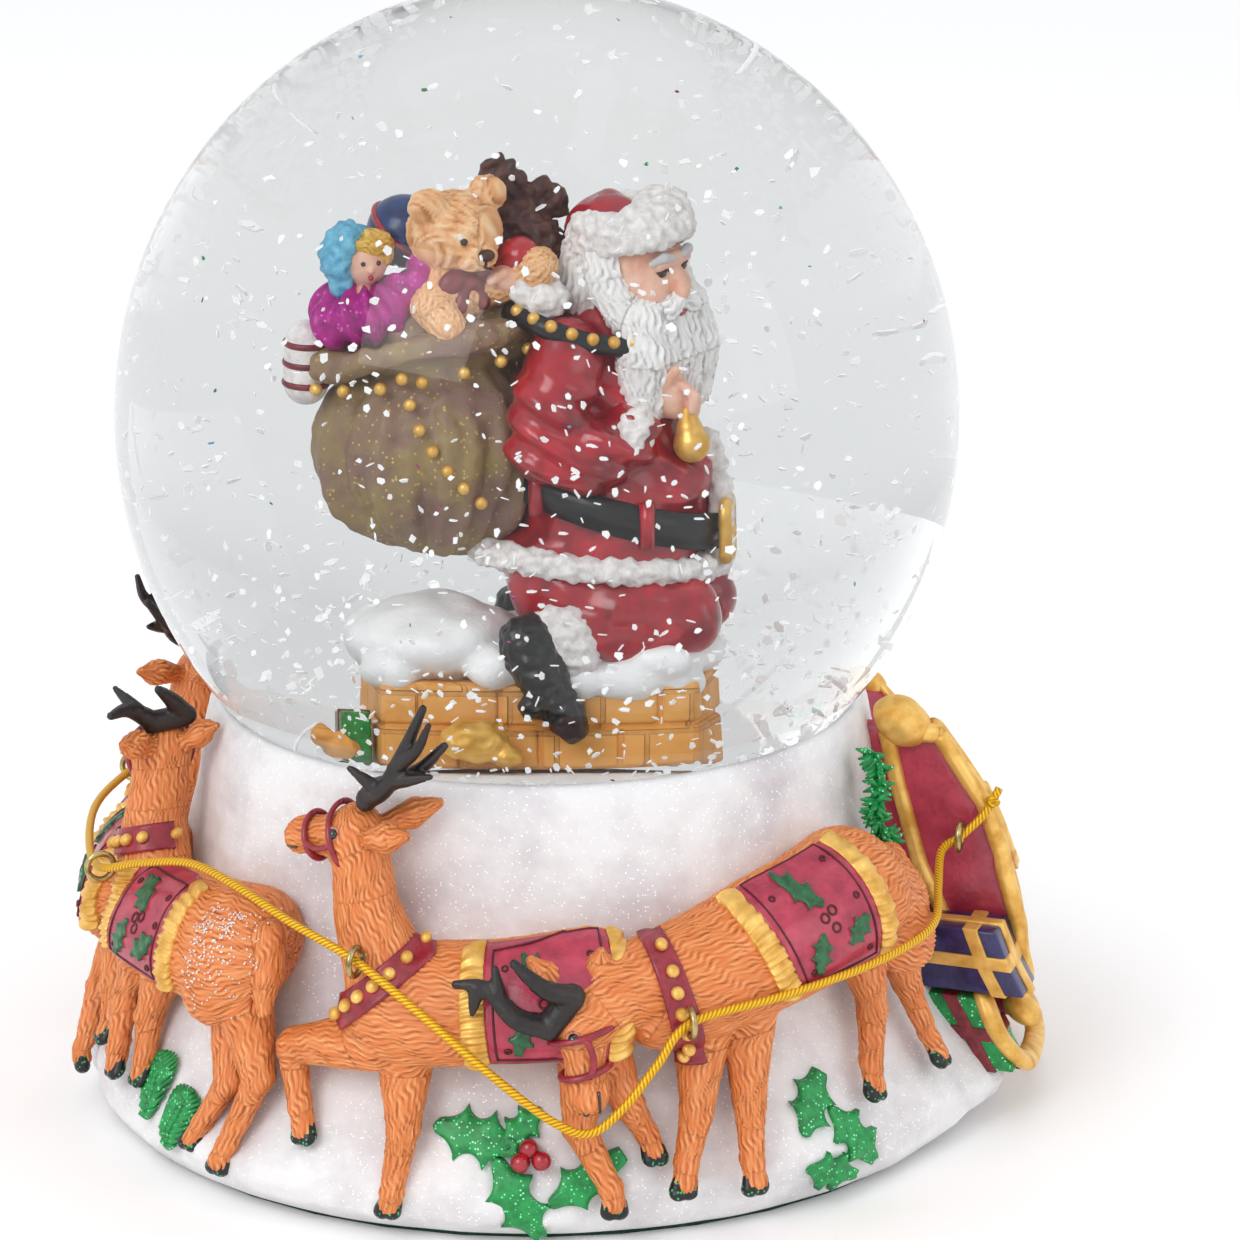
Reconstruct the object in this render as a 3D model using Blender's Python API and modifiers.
"""Musical snow globe: a water globe with a Father Christmas scene on a reindeer-and-sleigh base.

Metres, +Z up. The origin is the middle of the footprint on the table; the glass stands on its own
axis, a little left of it, and every part hangs from the empty on that axis. Azimuth is measured
round the axis from the front (-Y) towards +X, and shapes given in millimetres are tuples (x, y, z).
"""

import math

import bmesh
import bpy
from mathutils import Matrix, Vector

MM = 0.001
GAP = 0.3  # mm kept between touching pieces

# The axis of the glass, measured from the middle of the footprint.
AXIS_X = -0.0025
AXIS_Y = 0.0015

# Glass globe, in mm.
GLASS_RADIUS = 50.0
GLASS_HALF_HEIGHT = 51.4
GLASS_WALL = 1.6
GLOBE_Z = 82.7
NECK_RADIUS = 24.3
NECK_FOOT_Z = 28.8
RIM_RADIUS = 37.4

# Resin base, in mm: its outer outline as (z, radius), read by linear steps.
BASE_OUTLINE = (
    (1.1, 53.4), (3.0, 54.6), (6.5, 54.6), (12.0, 51.5), (20.0, 47.0),
    (30.0, 43.0), (40.0, 40.8), (47.5, 39.6), (49.2, 38.9),
)
PLATE_Z = (8.5, 10.0)
PLATE_RADIUS = 42.0
CAVITY_RADIUS = 36.0
CAVITY_TOP_Z = 26.0
SCREW_CIRCLE = 39.2
ROUND_STEPS = 40

# Travel round the base: 1 mm along a figure is 1/WRAP_RADIUS radian.
WRAP_RADIUS = 50.0

# Musical movement, in mm.
BED_Z = (10.3, 12.3)
WINDER = (-12.0, 6.0)
HOUSING_RADIUS = 9.5
CROWN_TEETH = 32
PINION_TEETH = 12
GEAR_TEETH = 36
GOVERNOR_TEETH = 9
WORM_WHEEL_TEETH = 24
DRUM_Y = 6.0
DRUM_Z = 17.5
DRUM_RADIUS = 5.9
DRUM_X = (2.0, 20.0)
GEAR_X = (20.6, 22.0)
GOVERNOR_Z = 18.5
GOVERNOR_Y = DRUM_Y - math.sqrt(7.9**2 - (GOVERNOR_Z - DRUM_Z) ** 2)
WORM_Y = GOVERNOR_Y - 5.6
WORM_X = 24.2

# Brass screw eyes and the gold cord, in mm.
EYE_RING = 1.6
EYE_WIRE = 0.36
EYE_STEPS = 10
CORD_RADIUS = 0.5

COLOURS = {
    "snow": (0.86, 0.86, 0.88), "glass": (0.85, 0.9, 0.92), "rubber": (0.05, 0.05, 0.05),
    "fur": (0.72, 0.26, 0.07), "antler": (0.05, 0.03, 0.03), "red": (0.45, 0.03, 0.05),
    "gold": (0.65, 0.42, 0.1), "brass": (0.6, 0.48, 0.25), "steel": (0.5, 0.5, 0.5),
    "black": (0.02, 0.02, 0.02), "brick": (0.75, 0.4, 0.12), "sack": (0.25, 0.15, 0.1),
    "bear": (0.7, 0.42, 0.22), "blue": (0.05, 0.03, 0.2), "green": (0.02, 0.3, 0.08),
    "magenta": (0.4, 0.02, 0.3), "felt": (0.02, 0.12, 0.06), "plum": (0.16, 0.06, 0.04),
}
METALS = ("brass", "steel")


def clear_scene():
    for obj in list(bpy.data.objects):
        bpy.data.objects.remove(obj)


def collection(name):
    made = bpy.data.collections.new(name)
    bpy.context.scene.collection.children.link(made)
    return made


def material(name):
    made = bpy.data.materials.get(name)
    if made:
        return made
    made = bpy.data.materials.new(name)
    made.use_nodes = True
    shader = made.node_tree.nodes["Principled BSDF"]
    shader.inputs["Base Color"].default_value = (*COLOURS[name], 1.0)
    shader.inputs["Roughness"].default_value = 0.3 if name in METALS else 0.5
    shader.inputs["Metallic"].default_value = 1.0 if name in METALS else 0.0
    return made


def place(name, mesh, colour, group, smooth=True):
    """Puts a mesh, given in mm about the glass's axis, into the scene as one named part."""
    mesh.transform(Matrix.Scale(MM, 4))
    obj = bpy.data.objects.new(name, mesh)
    group.objects.link(obj)
    obj.parent = axis
    obj.data.materials.append(material(colour))
    if smooth:
        mesh.shade_smooth()
        mesh.set_sharp_from_angle(angle=math.radians(35))
    return obj


def helper(name, mesh):
    """A cutter: not a part of the object."""
    obj = place(name, mesh, "steel", cutters, smooth=False)
    obj.hide_render = True
    obj.display_type = "WIRE"
    return obj


def mesh_of(bm, name):
    bmesh.ops.recalc_face_normals(bm, faces=bm.faces[:])
    mesh = bpy.data.meshes.new(name)
    bm.to_mesh(mesh)
    bm.free()
    return mesh


# ---------------------------------------------------------------- solids made of simple shapes


def add_ball(bm, centre, radii, turn=(0.0, 0.0, 0.0), steps=12):
    """An ellipsoid; turn is in degrees about X, Y and Z."""
    if isinstance(radii, (int, float)):
        radii = (radii,) * 3
    spin = Matrix.Identity(4)
    for letter, angle in zip("XYZ", turn):
        spin = Matrix.Rotation(math.radians(angle), 4, letter) @ spin
    shape = Matrix.Translation(centre) @ spin @ Matrix.Diagonal((*radii, 1.0))
    bmesh.ops.create_uvsphere(bm, u_segments=steps, v_segments=steps // 2 + 2, radius=1.0, matrix=shape)


def along(start, end):
    """The matrix that stands +Z on the line from start to end, at its middle, and the length."""
    start, end = Vector(start), Vector(end)
    line = end - start
    turn = line.to_track_quat("Z", "Y").to_matrix().to_4x4()
    return Matrix.Translation((start + end) / 2) @ turn, line.length


def add_limb(bm, points, radii, steps=10):
    """A chain of tapered rods with round joints."""
    for (start, end), (first, last) in zip(zip(points, points[1:]), zip(radii, radii[1:])):
        matrix, length = along(start, end)
        bmesh.ops.create_cone(
            bm, cap_ends=True, segments=steps, radius1=first, radius2=last, depth=length, matrix=matrix
        )
    for point, radius in zip(points, radii):
        add_ball(bm, point, radius, steps=steps)


def add_box(bm, low, high):
    size = Vector(high) - Vector(low)
    middle = (Vector(high) + Vector(low)) / 2
    shape = Matrix.Translation(middle) @ Matrix.Diagonal((*size, 1.0))
    bmesh.ops.create_cube(bm, size=1.0, matrix=shape)


def add_rod(bm, start, end, radius, end_radius=None, steps=20):
    matrix, length = along(start, end)
    bmesh.ops.create_cone(
        bm, cap_ends=True, segments=steps, radius1=radius,
        radius2=radius if end_radius is None else end_radius, depth=length, matrix=matrix,
    )


def evaluated_mesh(obj):
    bpy.context.view_layer.update()
    graph = bpy.context.evaluated_depsgraph_get()
    return bpy.data.meshes.new_from_object(obj.evaluated_get(graph))


def fuse(obj, voxel, triangles):
    """Makes overlapping shapes one soft skin of about the given number of triangles."""
    skin = obj.modifiers.new("skin", "REMESH")
    skin.mode = "VOXEL"
    skin.voxel_size = voxel * MM
    soften = obj.modifiers.new("soften", "SMOOTH")
    soften.factor = 0.5
    soften.iterations = 2
    count = sum(len(face.vertices) - 2 for face in evaluated_mesh(obj).polygons)
    thin = obj.modifiers.new("thin", "DECIMATE")
    thin.ratio = min(1.0, triangles / count)
    return obj


def boolean(obj, other, operation="DIFFERENCE"):
    modifier = obj.modifiers.new(operation.lower(), "BOOLEAN")
    modifier.operation = operation
    modifier.object = other
    modifier.solver = "EXACT"


def union_of(name, fill_steps, colour, group=None):
    """Joins the shapes that each step adds by Boolean unions into one solid."""
    whole = None
    for step in fill_steps:
        bm = bmesh.new()
        step(bm)
        piece = mesh_of(bm, name)
        if whole is None:
            whole = place(name, piece, colour, group or parts)
        else:
            boolean(whole, helper(f"{name}_joined", piece), "UNION")
    return whole


def settle(obj):
    """Bakes the cuts made so far, and drops the crumbs that they cut off."""
    mesh = evaluated_mesh(obj)
    obj.modifiers.clear()
    bm = bmesh.new()
    bm.from_mesh(mesh)
    bmesh.ops.remove_doubles(bm, verts=bm.verts[:], dist=0.00001)
    bmesh.ops.triangulate(bm, faces=bm.faces[:])
    left = set(bm.faces)
    bodies = []
    while left:
        edge = [left.pop()]
        body = []
        while edge:
            face = edge.pop()
            body.append(face)
            near = {
                other for link in face.edges if len(link.link_faces) == 2 for other in link.link_faces
            } & left
            left -= near
            edge.extend(near)
        bodies.append(body)
    bodies.sort(key=len)
    crumbs = [face for body in bodies[:-1] for face in body]
    bmesh.ops.delete(bm, geom=crumbs, context="FACES")
    bm.to_mesh(mesh)
    bm.free()
    obj.data = mesh


def clear_of(obj, neighbour, gap=GAP):
    """Cuts obj back so that it keeps the gap to its neighbour."""
    mesh = evaluated_mesh(neighbour)
    mesh.transform(Matrix.Scale(1 / MM, 4))
    cutter = helper(f"{neighbour.name}_grown", mesh)
    grow = cutter.modifiers.new("grow", "DISPLACE")
    grow.mid_level = 0.0
    grow.strength = gap * MM
    boolean(obj, cutter)


def turned(name, profile, colour, group=None, steps=ROUND_STEPS, centre=(0.0, 0.0)):
    """A solid turned about Z: profile holds (radius, z), closed, its outer side running downwards."""
    mesh = bpy.data.meshes.new(name)
    points = [(radius, 0.0, z) for radius, z in profile]
    count = len(points)
    touches = profile[0][0] == 0.0 and profile[-1][0] == 0.0
    edges = [(i, (i + 1) % count) for i in range(count - 1 if touches else count)]
    mesh.from_pydata(points, edges, [])
    obj = place(name, mesh, colour, group or parts, smooth=False)
    obj.location = (centre[0] * MM, centre[1] * MM, 0.0)
    screw = obj.modifiers.new("turn", "SCREW")
    screw.axis = "Z"
    screw.steps = screw.render_steps = steps
    screw.use_merge_vertices = True
    screw.merge_threshold = 0.00001
    screw.use_smooth_shade = True
    return obj


def toothed(name, teeth, root, tip, x_span, centre, colour, phase=0.0, share=0.36):
    """A spur gear whose axis lies along X. centre is (y, z); phase 0 points a tooth up."""
    bm = bmesh.new()
    ring = []
    for tooth in range(teeth):
        for radius, offset in ((root, -0.30), (tip, -share / 2), (tip, share / 2), (root, 0.30)):
            angle = math.tau * (tooth + offset + phase) / teeth
            ring.append((centre[0] + radius * math.sin(angle), centre[1] + radius * math.cos(angle)))
    near = [bm.verts.new((x_span[0], y, z)) for y, z in ring]
    far = [bm.verts.new((x_span[1], y, z)) for y, z in ring]
    bm.faces.new(near)
    bm.faces.new(far)
    for i in range(len(ring)):
        j = (i + 1) % len(ring)
        bm.faces.new((near[i], near[j], far[j], far[i]))
    return place(name, mesh_of(bm, name), colour, parts)


# ---------------------------------------------------------------- the round base and its figures


def outline_radius(z):
    """Radius of the base's outer surface at height z, in mm."""
    if z <= BASE_OUTLINE[0][0]:
        return BASE_OUTLINE[0][1]
    for (low, first), (high, last) in zip(BASE_OUTLINE, BASE_OUTLINE[1:]):
        if z <= high:
            return first + (last - first) * (z - low) / (high - low)
    return BASE_OUTLINE[-1][1]


def wrap(point, azimuth):
    """Carries (u, v, w) onto the base: u mm forward round it, v mm up, w mm out from its surface."""
    u, v, w = point
    angle = math.radians(azimuth) - u / WRAP_RADIUS
    radius = outline_radius(v) + w
    return Vector((radius * math.sin(angle), -radius * math.cos(angle), v))


def wrapped(bm, name, azimuth):
    for vertex in bm.verts:
        vertex.co = wrap(vertex.co, azimuth)
    return mesh_of(bm, name)


def seat_radius_z(radius, gap):
    """Height of the glass's underside at that radius, less the gap."""
    return GLOBE_Z - GLASS_HALF_HEIGHT * math.sqrt(1 - (radius / GLASS_RADIUS) ** 2) - gap


def make_base():
    """Hollow resin casting: a cup for the glass above, a cavity for the movement below."""
    outer = [(radius, z) for z, radius in reversed(BASE_OUTLINE)]
    seat = [(radius, seat_radius_z(radius, GAP + 0.1)) for radius in (26.0, 30.0, 34.0, RIM_RADIUS)]
    profile = outer + [
        (PLATE_RADIUS + GAP, BASE_OUTLINE[0][0]), (PLATE_RADIUS + GAP, PLATE_Z[1] + GAP),
        (CAVITY_RADIUS, PLATE_Z[1] + GAP), (CAVITY_RADIUS, CAVITY_TOP_Z), (25.0, CAVITY_TOP_Z),
        (25.0, seat_radius_z(25.6, GAP)),
    ] + seat
    base = turned("base_casting", profile, "snow")
    for angle in SCREW_ANGLES:
        boolean(base, screw_hole(angle))
    solid = [(0.0, 52.0), (39.2 + GAP, 52.0)] + [(radius + GAP, z) for z, radius in reversed(BASE_OUTLINE)]
    solid += [(BASE_OUTLINE[0][1] + GAP, -3.0), (0.0, -3.0)]
    clearance = turned("base_clearance", solid, "steel", cutters)
    clearance.hide_render = True
    clearance.display_type = "WIRE"
    return base, clearance


SCREW_ANGLES = (30.0, 150.0, 270.0)


def screw_hole(angle):
    x, y = SCREW_CIRCLE * math.cos(math.radians(angle)), SCREW_CIRCLE * math.sin(math.radians(angle))
    bm = bmesh.new()
    add_rod(bm, (x, y, PLATE_Z[0] - 5), (x, y, 19.0), 1.3, steps=12)
    return helper("screw_hole", mesh_of(bm, "screw_hole"))


def make_screw(name, x, y, head_z, tip_z, shank=0.95, head=2.2, colour="steel"):
    """A pan-head screw standing on its head, its head below head_z."""
    profile = [(0.0, tip_z), (shank * 0.3, tip_z), (shank, tip_z - 1.5), (shank, head_z),
               (head, head_z), (head, head_z - 0.9), (head * 0.6, head_z - 1.4), (0.0, head_z - 1.4)]
    return turned(name, profile, colour, steps=14, centre=(x, y))


def make_bottom():
    """The closing plate with its screws, and the felt ring that the globe stands on."""
    bm = bmesh.new()
    add_rod(bm, (0, 0, PLATE_Z[0]), (0, 0, PLATE_Z[1]), PLATE_RADIUS, steps=48)
    plate = place("bottom_plate", mesh_of(bm, "bottom_plate"), "black", parts)
    for angle in SCREW_ANGLES:
        boolean(plate, screw_hole(angle))
    bm = bmesh.new()
    add_rod(bm, (*WINDER, 5.0), (*WINDER, 11.5), 3.4)
    boolean(plate, helper("stem_hole", mesh_of(bm, "stem_hole")))
    for x, y in MOVEMENT_SCREWS:
        bm = bmesh.new()
        add_rod(bm, (x, y, 6.0), (x, y, 11.8), 1.3, steps=12)
        boolean(plate, helper("movement_hole", mesh_of(bm, "movement_hole")))
    for number, angle in enumerate(SCREW_ANGLES, 1):
        x, y = SCREW_CIRCLE * math.cos(math.radians(angle)), SCREW_CIRCLE * math.sin(math.radians(angle))
        make_screw(f"plate_screw_{number}", x, y, PLATE_Z[0] - GAP, 17.5)
    turned("felt_ring", [(52.0, 0.8), (52.0, 0.0), (44.0, 0.0), (44.0, 0.8)], "felt", steps=36)


MOVEMENT_SCREWS = ((21.0, 14.0), (-22.5, -12.0))


def make_glass():
    """Blown shell with an open neck, and the rubber plug that closes it."""
    def shell(radius, half_height, z):
        return radius * math.sqrt(max(0.0, 1 - ((z - GLOBE_Z) / half_height) ** 2))

    def arc(radius, half_height, neck, count):
        low = math.asin(neck / radius)
        return [
            (radius * math.sin(angle), GLOBE_Z + half_height * math.cos(angle))
            for angle in ((math.pi - low) * i / count for i in range(count + 1))
        ]

    outer = arc(GLASS_RADIUS, GLASS_HALF_HEIGHT, NECK_RADIUS, 15)
    outer[0] = (0.0, outer[0][1])
    inner = arc(GLASS_RADIUS - GLASS_WALL, GLASS_HALF_HEIGHT - GLASS_WALL, NECK_RADIUS - GLASS_WALL, 15)
    inner[0] = (0.0, inner[0][1])
    profile = outer + [(NECK_RADIUS, NECK_FOOT_Z), (NECK_RADIUS - GLASS_WALL, NECK_FOOT_Z)] + inner[::-1]
    turned("glass_globe", profile, "glass", steps=32)
    bore = NECK_RADIUS - GLASS_WALL - GAP
    turned("neck_plug", [
        (0.0, 36.5), (bore - 1.2, 36.5), (bore, 35.0), (bore, NECK_FOOT_Z - GAP),
        (NECK_RADIUS, NECK_FOOT_Z - GAP),
        (NECK_RADIUS, 26.9), (0.0, 26.9),
    ], "rubber", steps=32)


# ---------------------------------------------------------------- reindeer


class Pose:
    """Where a reindeer's joints are, in mm: u forward, v up, w out from the base's surface."""

    def __init__(self, trunk, neck, muzzle, ears, legs, tail, beams, eye):
        self.trunk = trunk
        self.neck = neck
        self.muzzle = muzzle
        self.ears = ears
        self.legs = legs
        self.tail = tail
        self.beams = beams
        self.eye = eye


LEG_RADII = (3.4, 1.9, 1.35, 1.5)

PROUD = Pose(
    trunk=(((9, 26.5, 4.6), 6.5), ((-2, 27.3, 4.2), 6.3), ((-13, 28.3, 4.4), 6.7)),
    neck=(((11, 29, 5), 5.0), ((14.3, 36, 5.6), 3.9), ((15.5, 42.5, 6), 3.5)),
    muzzle=(((16.5, 44.6, 6), 3.7), ((24.2, 43.6, 6), 2.1)),
    ears=(((13, 45.5, 8.5), (8, 47, 11)), ((13, 46, 4), (6.5, 48.3, 3))),
    legs=(
        ((11, 23, 6), (22, 20.3, 4.6), (20, 14, 3), (19, 11.6, 2.6)),
        ((8, 22, 5), (7.5, 13.5, 3.6), (8.2, 6.5, 1.8), (8.5, 4.8, 1.6)),
        ((-13.5, 24, 4.5), (-16.5, 16, 3.0), (-18.3, 12.6, 1.8), (-18.8, 11.0, 1.8)),
        ((-12, 23, 4), (-11, 14, 3), (-14, 7.5, 1.8), (-14.3, 5.6, 1.8)),
    ),
    tail=((-18.5, 32, 5), (-21, 27.5, 4.6)),
    beams=(
        (((14.5, 49.4, 7.6), (11.5, 51.5, 8.8), (9, 56, 9.2), (6.4, 61.5, 9.8)),
         ((10.2, 54, 9), (7.0, 56.8, 10.6), (5.4, 60.0, 11)), ((9.6, 52.6, 9.2), (5.6, 53.6, 9.8)),
         ((12.5, 51, 8.6), (15.8, 53.4, 9.4))),
        (((14.8, 49.6, 4.6), (12, 51.2, 6.2), (7.6, 53.6, 8.0), (4.0, 57.2, 9.4)),),
    ),
    eye=((12.6, 32.7), 11.6),
)

STRIDING = Pose(
    trunk=(((12, 28, 5), 6.1), ((3, 28.4, 5), 6.2), ((-7, 29, 5.4), 6.9)),
    neck=(((15, 31, 6), 4.7), ((18.3, 36.5, 6.2), 3.8), ((19.4, 42.5, 6.2), 3.4)),
    muzzle=(((20, 45, 6.2), 3.6), ((27.6, 44.2, 6.2), 2.0)),
    ears=(((18, 46.6, 8.8), (15.6, 48, 12.4)), ((18, 46.8, 3.8), (16, 48.6, 1.4))),
    legs=(
        ((12, 24, 5.4), (14, 17.8, 4.4), (12, 12, 3.2), (11.3, 10.2, 2.8)),
        ((8.5, 23.5, 3.8), (9, 17, 3.0), (7.3, 12.2, 2.0), (7, 10.6, 1.8)),
        ((-9, 25, 6.2), (-13, 15.8, 4.0), (-10.6, 8, 2.4), (-10, 5.8, 2.2)),
        ((-6, 24, 4), (-8.6, 14.4, 3.0), (-6, 9, 1.8), (-5.5, 7.3, 1.8)),
    ),
    tail=((-12.2, 32, 7.8), (-13.6, 24.2, 7.6)),
    beams=(
        (((18.8, 49.2, 8.4), (17.4, 51.4, 11.6), (14.8, 51.8, 14.6)),
         ((17.6, 51.2, 10.6), (20.4, 53.2, 12.6)),),
        (((18.8, 49.6, 4.6), (17.6, 52.0, 6.4), (15.4, 54.2, 8.6)),),
    ),
    eye=((15.8, 33.0), 12.6),
)

LOWERED = Pose(
    trunk=(((12, 28.6, 5), 6.3), ((0, 31.4, 4.8), 6.9), ((-15, 34, 4.8), 7.0), ((-20.5, 31.5, 4.6), 6.0)),
    neck=(((16, 29.5, 6), 4.9), ((21, 29.4, 8), 4.0)),
    muzzle=(((24.4, 27, 9), 3.7), ((24.2, 19.4, 9.6), 2.1)),
    ears=(((26.5, 29.5, 8.6), (29.8, 33.4, 9.4)), ((22.4, 30.6, 8.6), (22.2, 34.2, 9.6))),
    legs=(
        ((10, 24.5, 5), (12.2, 15, 4), (14, 9.6, 3.2), (14.4, 7.8, 3.2)),
        ((4.5, 25.5, 5.6), (6.2, 15, 4.2), (7, 9, 3.4), (7.1, 7.1, 3.4)),
        ((-14, 28, 4.8), (-14.6, 20.6, 3.6), (-11.4, 14.6, 3), (-10.9, 12.8, 3)),
        ((-20.5, 27.5, 5), (-22, 20.6, 3.8), (-22.6, 14.6, 3.2), (-22.8, 12.8, 3.2)),
    ),
    tail=((-25, 35, 5), (-27, 31, 4.6)),
    beams=(
        (((28.0, 27.0, 11.4), (31.2, 28.2, 12.4), (34.4, 31.4, 12.4), (37.4, 31.6, 12.4)),
         ((33.0, 30.2, 12.4), (33.4, 33.6, 12.4)), ((35.2, 31.4, 12.4), (35.6, 28.6, 12.4))),
        (((25.6, 30.4, 12.2), (28.4, 31.8, 13.8), (31.4, 34.6, 13.8)),),
    ),
    eye=((13.7, 26.8), 12.4),
)

HERD = (
    ("reindeer_1", 33.0, LOWERED), ("reindeer_2", -8.0, PROUD), ("reindeer_3", -52.0, STRIDING),
    ("reindeer_4", -96.0, PROUD), ("reindeer_5", -144.0, STRIDING), ("reindeer_6", 168.0, PROUD),
)


def make_reindeer(name, azimuth, pose, clearance):
    """One reindeer in high relief, bent round the base and cut to its surface."""
    bm = bmesh.new()
    add_limb(bm, [p for p, _ in pose.trunk], [r for _, r in pose.trunk], steps=14)
    add_limb(bm, [p for p, _ in pose.neck], [r for _, r in pose.neck], steps=12)
    add_limb(bm, [pose.neck[-1][0], pose.muzzle[0][0]], [pose.neck[-1][1], pose.muzzle[0][1]], steps=12)
    add_limb(bm, [p for p, _ in pose.muzzle], [r for _, r in pose.muzzle], steps=12)
    for root, tip in pose.ears:
        add_limb(bm, [root, tip], [1.7, 0.9], steps=8)
    for leg in pose.legs:
        add_limb(bm, leg, LEG_RADII, steps=8)
    add_limb(bm, pose.tail, [2.0, 1.4], steps=8)
    deer = place(name, wrapped(bm, name, azimuth), "fur", parts)
    fuse(deer, 0.75, 430)
    boolean(deer, clearance)
    settle(deer)
    bm = bmesh.new()
    (u, v), w = pose.eye
    add_rod(bm, wrap((u, v, w - 7.2), azimuth), wrap((u, v, w), azimuth), 0.95, steps=10)
    boolean(deer, helper(f"{name}_eye_hole", mesh_of(bm, "eye_hole")))
    return deer


def make_antlers(number, azimuth, pose, deer):
    """Both antlers of one reindeer with the saddle that joins them: one dark moulding."""
    name = f"antlers_{number}"
    bm = bmesh.new()
    for beam in pose.beams:
        for branch in beam:
            radii = [1.25 - 0.45 * i / (len(branch) - 1) for i in range(len(branch))]
            add_limb(bm, branch, radii, steps=8)
    roots = [beam[0][0] for beam in pose.beams]
    add_limb(bm, roots, [1.4, 1.4], steps=8)
    antlers = place(name, wrapped(bm, name, azimuth), "antler", parts)
    fuse(antlers, 0.45, 190)
    clear_of(antlers, deer)
    return antlers


def make_eye(name, centre, outward):
    """A brass screw eye: its ring stands upright in the plane of its shank, which is screwed in."""
    up = Vector((0, 0, 1))
    side = outward.cross(up).normalized()
    facing = Matrix((outward, up, side)).transposed().to_4x4()
    bm = bmesh.new()
    ring = []
    for i in range(EYE_STEPS):
        angle = math.tau * i / EYE_STEPS
        spot = Vector((EYE_RING * math.cos(angle), EYE_RING * math.sin(angle), 0))
        ring.append([
            bm.verts.new(facing @ (
                spot + spot.normalized() * EYE_WIRE * math.cos(math.tau * k / 5)
                + Vector((0, 0, EYE_WIRE * math.sin(math.tau * k / 5)))
            ) + centre) for k in range(5)
        ])
    for i in range(EYE_STEPS):
        for k in range(5):
            j, m = (i + 1) % EYE_STEPS, (k + 1) % 5
            bm.faces.new((ring[i][k], ring[j][k], ring[j][m], ring[i][m]))
    eye = place(name, mesh_of(bm, name), "brass", parts)
    bm = bmesh.new()
    add_rod(bm, centre - outward * (EYE_RING - 0.1), centre - outward * 6.4, 0.5, steps=8)
    boolean(eye, helper(f"{name}_shank", mesh_of(bm, name)), "UNION")
    return eye


def make_deer_eye(number, azimuth, pose):
    (u, v), w = pose.eye
    centre = wrap((u, v, w), azimuth)
    outward = (centre - wrap((u, v, w - 1), azimuth)).normalized()
    return make_eye(f"screw_eye_{number}", centre, outward)


# ---------------------------------------------------------------- sleigh, gifts and the gold cord

SLEIGH_AZIMUTH = 79.0
# Side view of the sleigh as (u, v): the dash in front, the dip of the seat, and the high back.
SLEIGH_SIDE = (
    (0.6, 46.5), (1.2, 36.0), (1.6, 24.0), (1.0, 13.0), (-3.0, 10.2), (-30.0, 10.2), (-38.0, 14.0),
    (-41.5, 24.0), (-44.0, 37.0), (-40.5, 38.5), (-34.0, 31.0), (-28.0, 27.5), (-12.0, 26.0), (-4.4, 31.0),
    (-1.8, 38.0), (-1.4, 46.5),
)
# How far the sleigh stands out from the base, as (v, w).
SLEIGH_WIDTH = ((10.2, 5.8), (12.6, 7.5), (17.6, 11.0), (23.9, 13.0), (31.4, 13.8), (37.7, 12.9), (46.5, 8.4))
# The ring of the sleigh's screw eye, as azimuth, height and distance from the axis.
SLEIGH_EYE = (74.2, 34.6, 52.0)
RUNNER = (
    (7.4, 15.6), (8.4, 12.2), (6.8, 8.6), (2.4, 6.6), (-8.0, 6.2), (-24.0, 6.2), (-36.0, 6.6), (-42.0, 8.4),
)


def sleigh_width(v):
    """How far the sleigh's side stands out from the base at height v."""
    for (low, first), (high, last) in zip(SLEIGH_WIDTH, SLEIGH_WIDTH[1:]):
        if v <= high:
            return first + (last - first) * (v - low) / (high - low)
    return SLEIGH_WIDTH[-1][1]


def on_circle(azimuth, height, radius):
    angle = math.radians(azimuth)
    return Vector((radius * math.sin(angle), -radius * math.cos(angle), height))


def make_sleigh(clearance):
    """The sleigh in high relief, its side leaning out from the dash, with the runner below it."""
    bm = bmesh.new()
    rows = 3
    rings = []
    for row in range(rows + 1):
        ring = []
        for u, v in SLEIGH_SIDE:
            w = -2.0 + (sleigh_width(v) + 2.0) * row / rows
            ring.append(bm.verts.new((u, v, w)))
        rings.append(ring)
    bm.faces.new(rings[0][::-1])
    bm.faces.new(rings[-1])
    count = len(SLEIGH_SIDE)
    for low, high in zip(rings, rings[1:]):
        for i in range(count):
            j = (i + 1) % count
            bm.faces.new((low[i], low[j], high[j], high[i]))
    bmesh.ops.triangulate(bm, faces=bm.faces[:])
    bmesh.ops.subdivide_edges(bm, edges=[e for e in bm.edges if e.calc_length() > 9.0], cuts=1)
    bmesh.ops.triangulate(bm, faces=bm.faces[:])
    sleigh = place("sleigh_body", wrapped(bm, "sleigh_body", SLEIGH_AZIMUTH), "red", parts)
    boolean(sleigh, clearance)
    centre = on_circle(*SLEIGH_EYE)
    bm = bmesh.new()
    add_rod(bm, centre, centre - sleigh_eye_way() * 7.4, 0.95, steps=10)
    boolean(sleigh, helper("sleigh_eye_hole", mesh_of(bm, "sleigh_eye_hole")))
    bm = bmesh.new()
    add_limb(bm, [(u, v, 6.6 if v > 7 else 6.0) for u, v in RUNNER], [1.3] * len(RUNNER), steps=8)
    rail = place("sleigh_runner", wrapped(bm, "sleigh_runner", SLEIGH_AZIMUTH), "gold", parts)
    fuse(rail, 0.6, 240)
    clear_of(rail, sleigh)
    boolean(rail, clearance)
    settle(rail)
    return sleigh, rail


def sleigh_eye_way():
    """The way the sleigh's eye points: forward, square to the dash."""
    angle = math.radians(SLEIGH_AZIMUTH)
    return Vector((-math.cos(angle), -math.sin(angle), 0.0))


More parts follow.
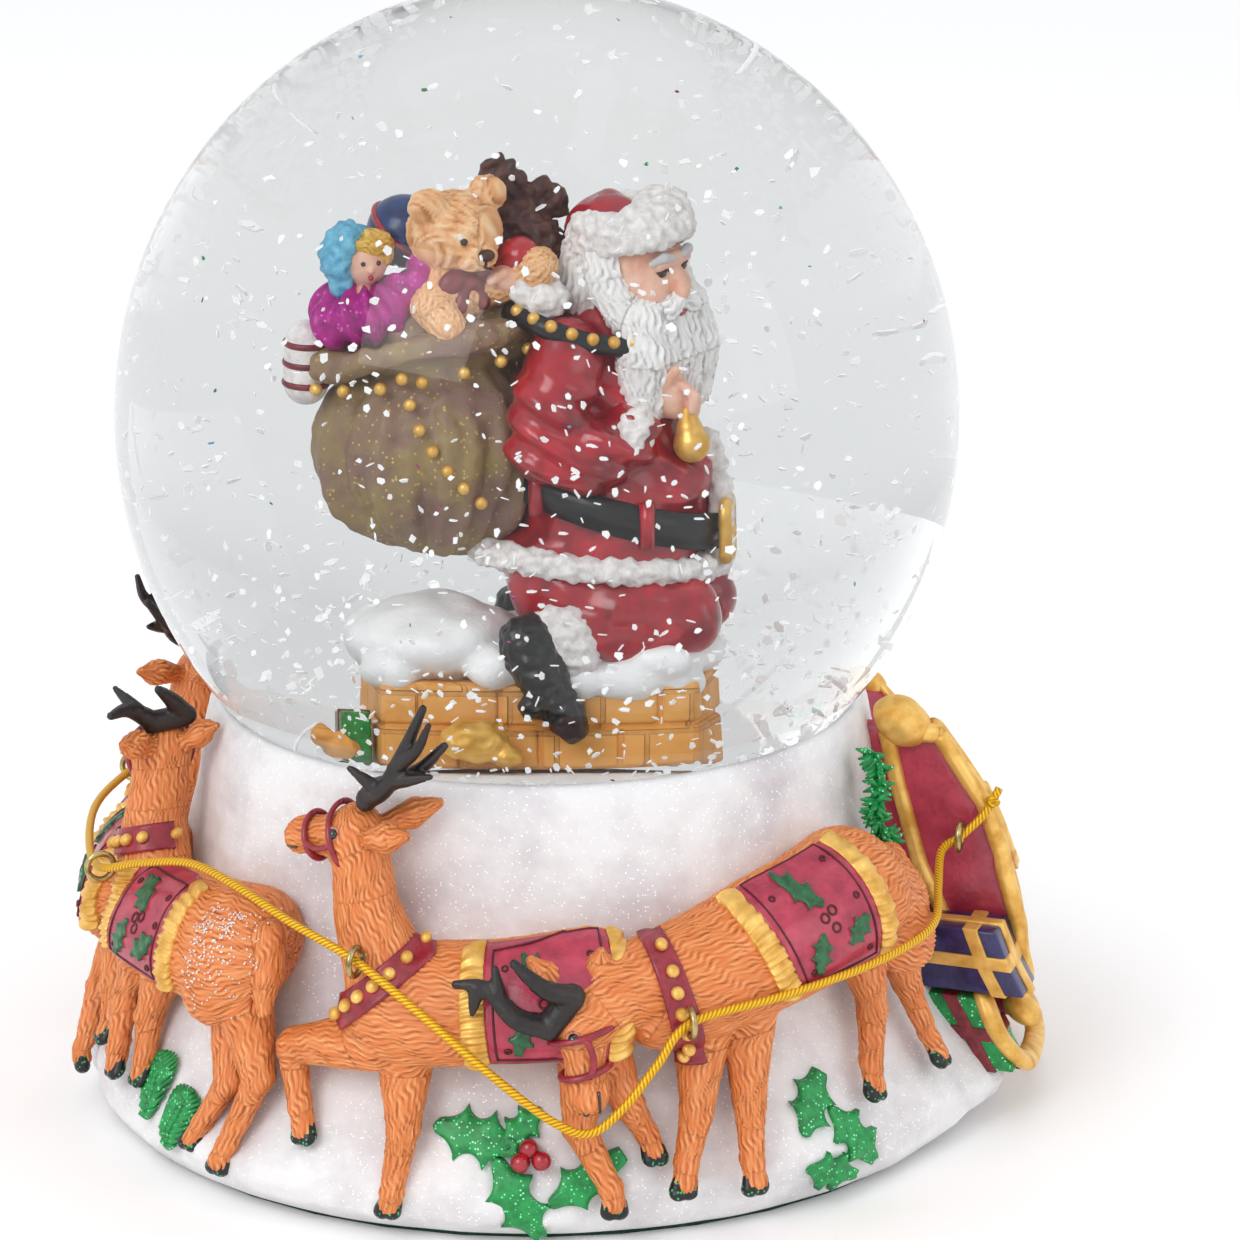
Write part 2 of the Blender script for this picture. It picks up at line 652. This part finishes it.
def make_gift(name, azimuth, low, high, colour, clearance, neighbours):
    bm = bmesh.new()
    add_box(bm, low, high)
    bmesh.ops.subdivide_edges(bm, edges=bm.edges[:], cuts=1, use_grid_fill=True)
    gift = place(name, wrapped(bm, name, azimuth), colour, parts, smooth=False)
    boolean(gift, clearance)
    for neighbour in neighbours:
        clear_of(gift, neighbour)
    return gift


def smooth_line(points, per_mm=0.42):
    """Points every few mm along a Catmull-Rom curve through the given ones."""
    ends = [points[0] * 2 - points[1], *points, points[-1] * 2 - points[-2]]
    line = []
    for a, b, c, d in zip(ends, ends[1:], ends[2:], ends[3:]):
        steps = max(1, round((c - b).length * per_mm))
        for i in range(steps):
            t = i / steps
            line.append(0.5 * (
                2 * b + (c - a) * t + (2 * a - 5 * b + 4 * c - d) * t**2 + (3 * b - a - 3 * c + d) * t**3
            ))
    return line + [points[-1]]


# The cord's run: (azimuth, height, distance from the axis), from the knot at the sleigh to the leader.
CORD_ROUTE = (
    (76.0, 40.4, 56.2), (75.4, 37.3, 54.6), (74.2, 34.6, 52.0), (71.8, 33.4, 50.2), (64.0, 31.4, 52.0),
    (57.0, 30.0, 54.8), (51.0, 29.2, 55.6), (41.0, 28.6, 55.8), (29.0, 27.8, 55.8), (17.3, 26.8, 56.7),
    (13.0, 22.8, 58.0), (9.0, 18.6, 59.4), (5.2, 15.9, 60.0), (1.0, 17.6, 60.0), (-6.0, 22.6, 58.0),
    (-14.0, 28.0, 55.6), (-22.4, 32.7, 54.0), (-33.0, 35.4, 52.2), (-44.0, 37.4, 50.8), (-53.0, 37.6, 50.6),
    (-62.0, 35.6, 52.6), (-70.1, 33.0, 55.0), (-80.0, 32.8, 54.6), (-95.0, 32.9, 54.2), (-110.4, 32.7, 54.0),
    (-124.0, 35.0, 52.4), (-136.0, 37.4, 50.8), (-146.0, 37.6, 50.6), (-154.0, 35.6, 52.6),
    (-162.1, 33.0, 55.0), (-172.0, 32.8, 54.6), (173.0, 32.9, 54.2), (162.0, 32.9, 54.0),
    (153.6, 32.7, 54.0), (149.0, 31.6, 54.6),
)


def make_cord():
    """Gold elastic cord: threaded through every eye from the sleigh to the leading reindeer."""
    points = [on_circle(*spot) for spot in CORD_ROUTE]
    curve = bpy.data.curves.new("rein_cord", "CURVE")
    curve.dimensions = "3D"
    curve.bevel_depth = CORD_RADIUS * MM
    curve.bevel_resolution = 2
    curve.use_fill_caps = True
    spline = curve.splines.new("POLY")
    line = smooth_line(points, 0.2)
    spline.points.add(len(line) - 1)
    for spot, point in zip(spline.points, line):
        spot.co = (*(point * MM), 1.0)
    cord = bpy.data.objects.new("rein_cord", curve)
    parts.objects.link(cord)
    cord.parent = axis
    curve.materials.append(material("gold"))
    return cord


# ---------------------------------------------------------------- the scene inside the glass


def make_ground():
    """Snowy mound on the plug: the seat of the chimney."""
    return turned("snow_mound", [
        (0.0, 50.6), (14.0, 50.4), (19.0, 49.2), (20.6, 47.0), (20.8, 44.0), (20.4, 40.5), (19.0, 36.5 + GAP),
        (0.0, 36.5 + GAP),
    ], "snow", steps=26, centre=(-0.8, 0.0))


def make_chimney():
    """Brick stack, wider than deep, with its snow cap as a second casting."""
    bm = bmesh.new()
    add_box(bm, (-14.6, -9.0, 50.6 + GAP), (14.8, 9.0, 59.6))
    bmesh.ops.bevel(bm, geom=[e for e in bm.edges], offset=0.6, segments=1, affect="EDGES")
    chimney = place("chimney", mesh_of(bm, "chimney"), "brick", parts, smooth=False)
    bm = bmesh.new()
    add_ball(bm, (-9.6, -1.0, 63.2), (8.2, 9.6, 4.2))
    add_ball(bm, (0.0, 0.0, 62.0), (13.5, 9.6, 3.0))
    add_ball(bm, (10.0, 0.0, 61.6), (6.2, 9.4, 2.6))
    add_ball(bm, (8.4, -8.0, 59.8), (4.0, 2.6, 2.4))
    snow = place("chimney_snow", mesh_of(bm, "chimney_snow"), "snow", parts)
    fuse(snow, 0.9, 300)
    clear_of(snow, chimney)
    return chimney, snow


def make_santa(snow, chimney):
    """Father Christmas astride the chimney, facing right: coat, head, arm, leg and boot in one casting."""
    bm = bmesh.new()
    add_limb(bm, [(5.6, 0, 70.0), (6.0, 0, 77.0), (5.6, 0, 86.0)], [8.2, 8.0, 6.4], steps=16)
    add_ball(bm, (6.0, 0, 70.8), (10.4, 9.0, 3.4), steps=16)
    add_limb(bm, [(5.6, 0, 89.0), (8.6, 0, 96.6)], [5.0, 5.4], steps=14)
    add_ball(bm, (9.6, 0, 98.0), (5.2, 5.0, 5.6), steps=14)
    add_ball(bm, (6.6, 0, 101.0), (4.8, 4.6, 3.6), turn=(0, 25, 0), steps=14)
    add_limb(bm, [(12.0, 0, 94.0), (13.6, 0, 88.0), (12.6, 0, 84.0)], [4.0, 3.4, 2.0], steps=12)
    for side in (-1, 1):
        add_limb(bm, [(3.2, 5.6 * side, 89.6), (2.8, 7.6 * side, 81.6), (9.0, 7.2 * side, 83.4)],
                 [3.6, 3.6, 2.8], steps=12)
        add_limb(bm, [(5.0, 4.2 * side, 67.6), (13.4, 5.0 * side, 65.0), (11.6, 5.4 * side, 63.4)],
                 [4.6, 4.2, 3.2], steps=12)
    add_limb(bm, [(9.0, -7.0, 64.0), (2.4, -9.0, 65.0)], [3.4, 3.4], steps=12)
    add_limb(bm, [(-0.6, -10.2, 65.0), (2.2, -11.2, 58.6), (3.6, -12.0, 57.0)], [2.8, 2.7, 2.3], steps=12)
    santa = place("santa_figure", mesh_of(bm, "santa_figure"), "red", parts)
    fuse(santa, 0.8, 800)
    clear_of(santa, snow)
    clear_of(santa, chimney)
    return santa


def make_sack(santa, snow):
    """The full toy sack on his back."""
    bm = bmesh.new()
    add_ball(bm, (-10.2, 0, 80.4), (11.0, 9.6, 10.4), turn=(0, -14, 0), steps=18)
    add_ball(bm, (-8.6, 0, 75.2), (7.4, 7.4, 5.6), steps=14)
    add_limb(bm, [(-18.6, 0, 88.6), (-10.0, 0, 91.4), (-2.6, 0, 93.0)], [2.4, 6.6, 4.0], steps=14)
    sack = place("toy_sack", mesh_of(bm, "toy_sack"), "sack", parts)
    fuse(sack, 0.9, 420)
    clear_of(sack, santa)
    clear_of(sack, snow)
    return sack


def make_toy(name, shapes, colour, triangles, neighbours, voxel=0.6):
    bm = bmesh.new()
    for centre, radii in shapes:
        add_ball(bm, centre, radii, steps=10)
    toy = place(name, mesh_of(bm, name), colour, parts)
    fuse(toy, voxel, triangles)
    for neighbour in neighbours:
        clear_of(toy, neighbour)
    settle(toy)
    return toy


def make_toys(sack, santa, chimney, snow, mound):
    bear = make_toy("teddy_bear", (
        ((-6.0, -2.0, 99.6), (4.6, 4.4, 4.2)), ((-3.8, -2.6, 98.6), (2.8, 2.4, 2.2)),
        ((-9.6, -1.0, 101.6), 1.9), ((-3.6, -0.4, 103.2), 2.0), ((-7.0, -2.2, 94.6), (4.2, 4.0, 3.8)),
        ((-8.2, -5.4, 94.6), (2.2, 2.0, 1.6)), ((-0.6, -3.4, 97.4), (2.4, 1.8, 2.0)),
    ), "bear", 420, (sack, santa))
    doll = make_toy("rag_doll", (
        ((-16.0, -1.6, 98.4), (2.5, 2.5, 2.8)), ((-17.4, -0.6, 99.0), (2.6, 2.6, 3.2)),
        ((-15.6, -1.4, 93.2), (5.2, 4.4, 3.4)),
    ), "magenta", 320, (sack, bear))
    make_toy("moose_toy", (
        ((-1.6, 3.4, 99.0), (3.4, 3.0, 4.0)), ((-3.6, 3.6, 104.4), (2.2, 1.0, 2.8)),
        ((0.6, 3.6, 101.6), (2.0, 1.0, 2.4)),
    ), "plum", 240, (sack, santa, bear))
    make_toy("toy_ball", (((-12.0, 3.0, 99.2), 3.4),), "blue", 140, (sack, bear, doll))
    make_toy("candy_roll", (((-21.4, -1.0, 88.6), (2.0, 2.4, 3.0)),), "snow", 110, (sack, doll))
    make_toy("gold_bell", (((-6.2, -11.0, 53.6), (3.6, 1.9, 2.6)),), "gold", 120, (chimney, mound))
    make_toy("floor_gift", (((-16.6, -3.4, 53.6), (1.7, 2.8, 3.0)),), "green", 110, (chimney, mound, snow))


# ---------------------------------------------------------------- musical movement


def make_movement():
    """Wound by the key below: spring, crown wheel, pinned drum, comb, and a fan governor."""
    wx, wy = WINDER
    frame = union_of("movement_frame", (
        lambda bm: add_box(bm, (-25.0, -16.0, BED_Z[0]), (29.0, 18.0, BED_Z[1])),
        lambda bm: add_box(bm, (0.7, DRUM_Y - 3.0, BED_Z[1] - 0.5), (1.6, DRUM_Y + 3.0, 19.6)),
        lambda bm: add_box(bm, (26.2, GOVERNOR_Y - 2.6, BED_Z[1] - 0.5), (27.4, DRUM_Y + 3.0, 20.6)),
        lambda bm: add_box(bm, (2.6, -15.0, BED_Z[1] - 0.5), (19.4, -9.0, 16.9)),
    ), "steel")
    holes = [
        ((wx, wy, 8.0), (wx, wy, 14.0), 1.62), ((-1.0, DRUM_Y, DRUM_Z), (3.0, DRUM_Y, DRUM_Z), 0.86),
        ((25.0, DRUM_Y, DRUM_Z), (28.5, DRUM_Y, DRUM_Z), 0.86),
        ((25.0, GOVERNOR_Y, GOVERNOR_Z), (28.5, GOVERNOR_Y, GOVERNOR_Z), 0.66),
        ((WORM_X, WORM_Y, 8.0), (WORM_X, WORM_Y, 14.0), 0.66),
    ]
    holes += [((x, y, 8.0), (x, y, 14.0), 1.1) for x, y in MOVEMENT_SCREWS]
    holes += [((x, -12.0, 14.0), (x, -12.0, 18.0), 0.95) for x in COMB_SCREWS]
    for start, end, radius in holes:
        bm = bmesh.new()
        add_rod(bm, start, end, radius, steps=14)
        boolean(frame, helper("frame_hole", mesh_of(bm, "frame_hole")))
    bm = bmesh.new()
    add_box(bm, (1.8, DRUM_Y - 7.2, BED_Z[0] - 1), (22.4, DRUM_Y + 7.2, BED_Z[1] + 1))
    boolean(frame, helper("drum_window", mesh_of(bm, "drum_window")))
    for number, (x, y) in enumerate(MOVEMENT_SCREWS, 1):
        make_screw(f"movement_screw_{number}", x, y, PLATE_Z[0] - GAP, 12.2, shank=0.8, head=1.9)
    make_spring_and_key()
    make_drum()
    make_comb()
    make_governor()


COMB_SCREWS = (6.5, 15.5)


def make_spring_and_key():
    wx, wy = WINDER
    turned("spring_housing", [
        (HOUSING_RADIUS, 20.4), (HOUSING_RADIUS, BED_Z[1] + GAP), (HOUSING_RADIUS - 0.8, BED_Z[1] + GAP),
        (HOUSING_RADIUS - 0.8, 19.6), (1.62, 19.6), (1.62, 20.4),
    ], "brass", steps=24, centre=WINDER)
    turned("winding_arbor", [
        (0.0, 24.0), (1.5, 24.0), (1.5, 19.0), (2.1, 18.6), (2.1, 13.0), (1.5, 12.7), (1.5, 4.6), (0.0, 4.6),
    ], "steel", steps=16, centre=WINDER)
    strip = bpy.data.curves.new("mainspring", "CURVE")
    strip.dimensions = "2D"
    strip.fill_mode = "BOTH"
    strip.extrude = 2.4 * MM
    turns, steps = 3, 14
    inner, outer, thickness = 2.6, HOUSING_RADIUS - 1.5, 0.35
    count = turns * steps
    spots = []
    for i in range(count + 1):
        angle = math.tau * i / steps
        spots.append((inner + (outer - inner) * i / count, angle))
    edge = [((r + thickness) * math.cos(a), (r + thickness) * math.sin(a)) for r, a in spots]
    edge += [(r * math.cos(a), r * math.sin(a)) for r, a in reversed(spots)]
    spline = strip.splines.new("POLY")
    spline.points.add(len(edge) - 1)
    for spot, (x, y) in zip(spline.points, edge):
        spot.co = (x * MM, y * MM, 0.0, 1.0)
    spline.use_cyclic_u = True
    spring = bpy.data.objects.new("mainspring", strip)
    parts.objects.link(spring)
    spring.parent = axis
    spring.location = (wx * MM, wy * MM, 16.2 * MM)
    strip.materials.append(material("steel"))
    key = union_of("winding_key", (
        lambda bm: add_rod(bm, (wx, wy, 2.4), (wx, wy, 7.6), 2.6, steps=18),
        lambda bm: add_rod(bm, (wx - 5.6, wy - 0.7, 4.2), (wx - 5.6, wy + 0.7, 4.2), 3.2, steps=16),
        lambda bm: add_rod(bm, (wx + 5.6, wy - 0.7, 4.2), (wx + 5.6, wy + 0.7, 4.2), 3.2, steps=16),
        lambda bm: add_box(bm, (wx - 6.0, wy - 0.6, 2.6), (wx + 6.0, wy + 0.6, 5.6)),
    ), "steel")
    bm = bmesh.new()
    add_rod(bm, (wx, wy, 4.2), (wx, wy, 9.0), 1.5 + GAP, steps=16)
    boolean(key, helper("key_bore", mesh_of(bm, "key_bore")))
    make_crown_wheel()


def make_crown_wheel():
    """Disc on top of the arbor with teeth that point down at its rim."""
    wx, wy = WINDER
    inner, outer, root, tip, top = 10.0, 12.2, 22.6, 21.2, 24.2
    bore = 1.5 + GAP / 2
    section = ((bore, root), (inner, root), (outer, root), (outer, top), (bore, top))
    bm = bmesh.new()
    count = CROWN_TEETH * 2
    rings = []
    for i in range(count):
        angle = math.tau * (i + 0.5) / count
        x, y = math.cos(angle), math.sin(angle)
        rings.append([bm.verts.new((wx + radius * x, wy + radius * y, z)) for radius, z in section])
    roots = []
    for i, ring in enumerate(rings):
        following = rings[(i + 1) % count]
        for k in range(5):
            m = (k + 1) % 5
            face = bm.faces.new((ring[k], following[k], following[m], ring[m]))
            if k == 1 and i % 2 == 0:
                roots.append(face)
    for face in roots:
        middle = face.calc_center_median()
        tangent = Vector((wy - middle.y, middle.x - wx, 0)).normalized()
        made = bmesh.ops.extrude_discrete_faces(bm, faces=[face])["faces"][0]
        for vertex in made.verts:
            vertex.co -= tangent * (vertex.co - middle).dot(tangent) * 0.35
            vertex.co.z = tip
    place("drive_wheel", mesh_of(bm, "drive_wheel"), "brass", parts)


def make_drum():
    """The drum with the gear on its end cap, and the arbor with the pinion that the crown wheel drives."""
    centre = (DRUM_Y, DRUM_Z)
    drum = toothed("music_drum", GEAR_TEETH, 5.75, 6.75, GEAR_X, centre, "brass", share=0.26)
    bm = bmesh.new()
    add_rod(bm, (DRUM_X[0], *centre), (GEAR_X[0] + 0.4, *centre), DRUM_RADIUS, steps=28)
    boolean(drum, helper("drum_cylinder", mesh_of(bm, "drum_cylinder")), "UNION")
    bm = bmesh.new()
    add_rod(bm, (0.0, *centre), (24.0, *centre), 0.8 + GAP, steps=14)
    boolean(drum, helper("drum_bore", mesh_of(bm, "drum_bore")))
    arbor = toothed("drum_arbor", PINION_TEETH, 3.5, 4.8, (-1.9, 0.3), centre, "steel", share=0.24)
    bm = bmesh.new()
    add_rod(bm, (-2.2, *centre), (27.2, *centre), 0.8, steps=14)
    boolean(arbor, helper("drum_spindle", mesh_of(bm, "drum_spindle")), "UNION")


def make_comb():
    """Steel comb of tuned tongues, cut from one plate, whose tips reach the drum."""
    tongues, pitch, slot = 18, 0.94, 0.3
    left, back, root, tip = 2.6, -15.0, -8.8, -0.9
    outline = [(left, back), (left + tongues * pitch - slot, back)]
    for i in reversed(range(tongues)):
        right = left + (i + 1) * pitch - slot
        outline += [(right, tip), (right - pitch + slot, tip)]
        if i:
            depth = root + 2.4 * (1 - i / tongues)
            outline += [(right - pitch + slot, depth), (right - pitch, depth)]
    bm = bmesh.new()
    low = [bm.verts.new((x, y, 16.9 + GAP)) for x, y in outline]
    face = bm.faces.new(low)
    made = bmesh.ops.extrude_face_region(bm, geom=[face])
    for vertex in (item for item in made["geom"] if isinstance(item, bmesh.types.BMVert)):
        vertex.co.z += 0.6
    comb = place("tone_comb", mesh_of(bm, "tone_comb"), "steel", parts, smooth=False)
    for number, x in enumerate(COMB_SCREWS, 1):
        bm = bmesh.new()
        add_rod(bm, (x, -12.0, 15.0), (x, -12.0, 20.0), 1.1, steps=12)
        boolean(comb, helper("comb_hole", mesh_of(bm, "comb_hole")))
        bm = bmesh.new()
        add_rod(bm, (x, -12.0, 14.6), (x, -12.0, 17.9), 0.6, steps=12)
        screw = place(f"comb_screw_{number}", mesh_of(bm, "comb_screw"), "steel", parts)
        bm = bmesh.new()
        add_rod(bm, (x, -12.0, 17.8), (x, -12.0, 18.9), 1.6, 1.3, steps=12)
        boolean(screw, helper("comb_screw_head", mesh_of(bm, "comb_screw_head")), "UNION")


def make_governor():
    """Worm wheel and pinion on one arbor, and the fan whose worm it drives."""
    centre = (GOVERNOR_Y, GOVERNOR_Z)
    toward_drum = math.atan2(DRUM_Y - GOVERNOR_Y, DRUM_Z - GOVERNOR_Z)
    # On the line between the two the pinion shows a gap where the drum's gear shows a tooth.
    drum_phase = (toward_drum + math.pi) / math.tau * GEAR_TEETH
    pinion_phase = toward_drum / math.tau * GOVERNOR_TEETH + 0.5 + drum_phase
    pinion = toothed("governor_wheel", GOVERNOR_TEETH, 1.05, 1.95, (20.5, 22.1), centre, "brass",
                     phase=pinion_phase, share=0.2)
    bm = bmesh.new()
    add_rod(bm, (21.9, *centre), (27.2, *centre), 0.6, steps=12)
    boolean(pinion, helper("governor_arbor", mesh_of(bm, "governor_arbor")), "UNION")
    wheel = toothed("governor_wheel_disc", WORM_WHEEL_TEETH, 3.9, 4.3, (23.7, 24.7), centre, "brass",
                    share=0.3)
    cutters.objects.link(wheel)
    parts.objects.unlink(wheel)
    wheel.hide_render = True
    boolean(pinion, wheel, "UNION")
    worm = [(0.0, 23.2), (0.6, 23.2), (0.6, 21.0)]
    pitch = math.tau * 4.1 / WORM_WHEEL_TEETH
    for i in range(4):
        z = 20.1 - i * pitch
        worm += [(0.85, z), (1.15, z - 0.2), (1.15, z - 0.35), (0.85, z - 0.55)]
    worm += [(0.6, 16.0), (0.6, 10.8), (0.0, 10.8)]
    fan = turned("governor_fan", worm, "steel", steps=10, centre=(WORM_X, WORM_Y))
    bm = bmesh.new()
    add_box(bm, (-3.4, -0.3, 12.7), (3.4, 0.3, 14.0))
    blade = helper("fan_blade", mesh_of(bm, "fan_blade"))
    blade.location = (WORM_X * MM, WORM_Y * MM, 0)
    boolean(fan, blade, "UNION")
    bracket = union_of("governor_bracket", (
        lambda bm: add_box(bm, (22.6, -15.6, BED_Z[1] + GAP), (25.8, -13.4, 23.9)),
        lambda bm: add_box(bm, (22.6, -15.6, 22.2), (25.8, WORM_Y + 1.8, 23.9)),
    ), "brass")
    bm = bmesh.new()
    add_rod(bm, (WORM_X, WORM_Y, 20.0), (WORM_X, WORM_Y, 25.0), 0.66, steps=12)
    boolean(bracket, helper("bracket_hole", mesh_of(bm, "bracket_hole")))


# ---------------------------------------------------------------- the whole object

clear_scene()
parts = collection("snow_globe")
cutters = collection("cutters")
axis = bpy.data.objects.new("globe_axis", None)
parts.objects.link(axis)
axis.location = (AXIS_X, AXIS_Y, 0.0)

base_casting, base_clearance = make_base()
make_bottom()
make_glass()
herd = {}
for deer_name, deer_azimuth, deer_pose in HERD:
    herd[deer_name] = make_reindeer(deer_name, deer_azimuth, deer_pose, base_clearance)
for index, (deer_name, deer_azimuth, deer_pose) in enumerate(HERD, 1):
    follower = herd[deer_name]
    leader = herd.get(f"reindeer_{index + 1}")
    if leader:
        clear_of(leader, follower)
for index, (deer_name, deer_azimuth, deer_pose) in enumerate(HERD, 1):
    ahead = herd.get(f"reindeer_{index + 1}")
    antlers = make_antlers(index, deer_azimuth, deer_pose, herd[deer_name])
    if ahead:
        clear_of(antlers, ahead)
    settle(antlers)
    make_deer_eye(index, deer_azimuth, deer_pose)
sleigh_body, sleigh_runner = make_sleigh(base_clearance)
make_eye("sleigh_eye", on_circle(*SLEIGH_EYE), sleigh_eye_way())
make_gift("blue_gift", SLEIGH_AZIMUTH, (2.4, 16.6, -2.0), (8.6, 24.8, 12.6), "blue", base_clearance,
          (sleigh_body, sleigh_runner, herd["reindeer_1"]))
make_gift("green_gift", SLEIGH_AZIMUTH, (3.0, 7.0, -2.0), (8.6, 16.2, 6.2), "green", base_clearance,
          (sleigh_body, sleigh_runner, herd["reindeer_1"]))
make_cord()
mound = make_ground()
chimney_stack, chimney_cap = make_chimney()
santa_figure = make_santa(chimney_cap, chimney_stack)
toy_sack = make_sack(santa_figure, chimney_cap)
make_toys(toy_sack, santa_figure, chimney_stack, chimney_cap, mound)
make_movement()
